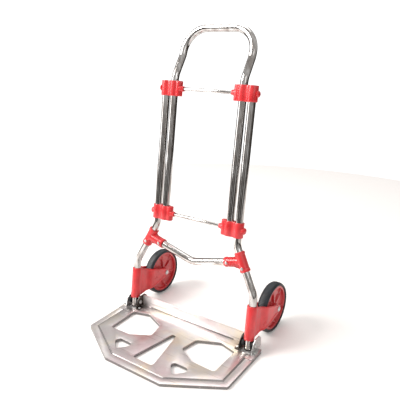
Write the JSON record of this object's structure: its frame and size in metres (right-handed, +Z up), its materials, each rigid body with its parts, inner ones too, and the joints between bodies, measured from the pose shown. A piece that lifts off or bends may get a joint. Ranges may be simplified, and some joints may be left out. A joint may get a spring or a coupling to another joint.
{
  "type": "folding hand truck",
  "caption": "Folding hand truck: chrome tube frame, sliding crank-backed handle, hinged toe plate, and wheels on forks that turn inward as the plate folds.",
  "frame": {"origin": "on the floor, under the middle of the cart's width and depth", "axes": "+Z up, -Y towards the toe plate's front edge, +X across the cart"},
  "size_m": [0.41, 0.3914, 0.7312],
  "materials": {
    "chrome": "bright chrome plate",
    "red_plastic": "moulded, semi-gloss",
    "steel": "zinc-plated steel",
    "dark_steel": "dark plated pressing",
    "aluminium": "pressed mill-finish sheet",
    "rubber": "matt, with fine ribs across the tread",
    "black_plastic": "moulded, matt",
    "nylon": "natural nylon"
  },
  "bodies": {
    "frame": {"frame_tube_left": "chrome", "tee_left": "red_plastic", "upper_clamp_left": "red_plastic", "arm_screw_left": "steel", "sleeve_screw_left": "steel", "frame_rivet_left": "red_plastic", "sleeve_ring_left": "steel", "foot_plug_left": "black_plastic", "frame_tube_right": "chrome", "tee_right": "red_plastic", "upper_clamp_right": "red_plastic", "arm_screw_right": "steel", "sleeve_screw_right": "steel", "frame_rivet_right": "red_plastic", "sleeve_ring_right": "steel", "foot_plug_right": "black_plastic", "cross_tube": "chrome", "upper_rod": "chrome"},
    "handle": {"lower_clamp_left": "red_plastic", "handle_rivet_left": "steel", "friction_pad_left": "nylon", "pad_spring_left": "steel", "pad_cap_left": "red_plastic", "lower_clamp_right": "red_plastic", "handle_rivet_right": "steel", "friction_pad_right": "nylon", "pad_spring_right": "steel", "pad_cap_right": "red_plastic", "lower_rod": "chrome", "handle_tube": "chrome"},
    "toe_plate_assembly": {"outer_ear_left": "dark_steel", "inner_ear_left": "dark_steel", "outer_ear_rivet_left": "steel", "inner_ear_rivet_left": "steel", "hinge_pin_left": "steel", "fold_gear_left": "black_plastic", "hinge_spacer_left": "black_plastic", "outer_ear_right": "dark_steel", "inner_ear_right": "dark_steel", "outer_ear_rivet_right": "steel", "inner_ear_rivet_right": "steel", "hinge_pin_right": "steel", "fold_gear_right": "black_plastic", "hinge_spacer_right": "black_plastic", "toe_plate": "aluminium"},
    "fork_left": {"wheel_fork_left": "red_plastic", "axle_pin_left": "steel", "outer_washer_left": "nylon", "inner_washer_left": "nylon"},
    "fork_right": {"wheel_fork_right": "red_plastic", "axle_pin_right": "steel", "outer_washer_right": "nylon", "inner_washer_right": "nylon"},
    "wheel_left": {"tyre_left": "rubber", "wheel_hub_left": "red_plastic"},
    "wheel_right": {"tyre_right": "rubber", "wheel_hub_right": "red_plastic"}
  },
  "joints": [
    {"name": "handle_slide", "type": "slide", "parent": "frame", "child": "handle", "axis": [0, 0.1564, 0.9877], "range_m": [0, 0.26]},
    {"name": "plate_fold", "type": "hinge", "parent": "frame", "child": "toe_plate_assembly", "pos_m": [0, 0.0173, 0.022], "axis": [-1, 0, 0], "range_deg": [0, 94.7]},
    {"name": "fork_fold_left", "type": "hinge", "parent": "frame", "child": "fork_left", "pos_m": [-0.176, 0.0173, 0.022], "axis": [0, -0.1564, -0.9877], "range_deg": [0, 90]},
    {"name": "wheel_spin_left", "type": "hinge", "parent": "fork_left", "child": "wheel_left", "pos_m": [-0.176, 0.13221, 0.0635], "axis": [1, 0, 0], "continuous": true},
    {"name": "fork_fold_right", "type": "hinge", "parent": "frame", "child": "fork_right", "pos_m": [0.176, 0.0173, 0.022], "axis": [0, 0.1564, 0.9877], "range_deg": [0, 90]},
    {"name": "wheel_spin_right", "type": "hinge", "parent": "fork_right", "child": "wheel_right", "pos_m": [0.176, 0.13221, 0.0635], "axis": [1, 0, 0], "continuous": true}
  ],
  "couplings": [
    {"joint": "fork_fold_left", "follows": "plate_fold", "ratio": 0.95},
    {"joint": "fork_fold_right", "follows": "plate_fold", "ratio": 0.95}
  ]
}
